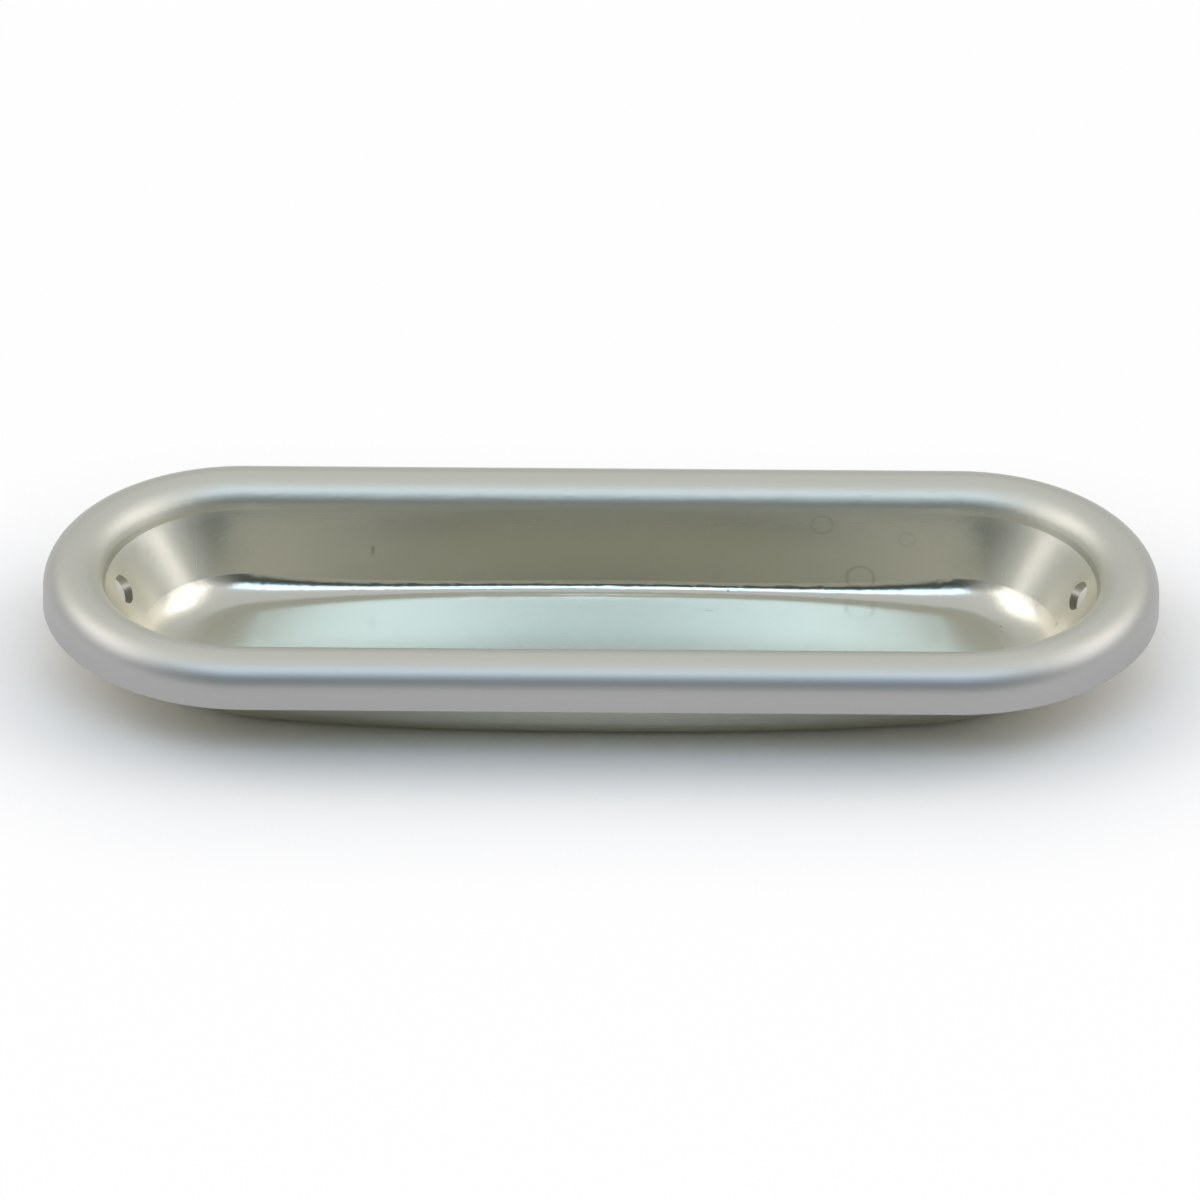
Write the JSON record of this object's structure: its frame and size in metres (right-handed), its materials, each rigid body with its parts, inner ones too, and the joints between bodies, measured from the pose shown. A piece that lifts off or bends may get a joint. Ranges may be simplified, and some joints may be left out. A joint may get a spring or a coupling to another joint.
{
  "type": "recessed pull handle",
  "caption": "Flush stadium-shaped finger pull pressed from thin sheet, with a rolled hollow rim, a drawn pan and a pin hole through each end wall.",
  "frame": {"origin": "middle of the flat underside of the pan, the lowest face of the tray", "axes": "+X along the tray's length, +Y across it, towards the wall half that the two pin holes are swung to, +Z out of the recess"},
  "size_m": [0.11, 0.0396, 0.0119],
  "materials": {
    "satin_nickel": "satin nickel plate"
  },
  "bodies": {
    "root": {"pull_tray": "satin_nickel"}
  },
  "joints": []
}
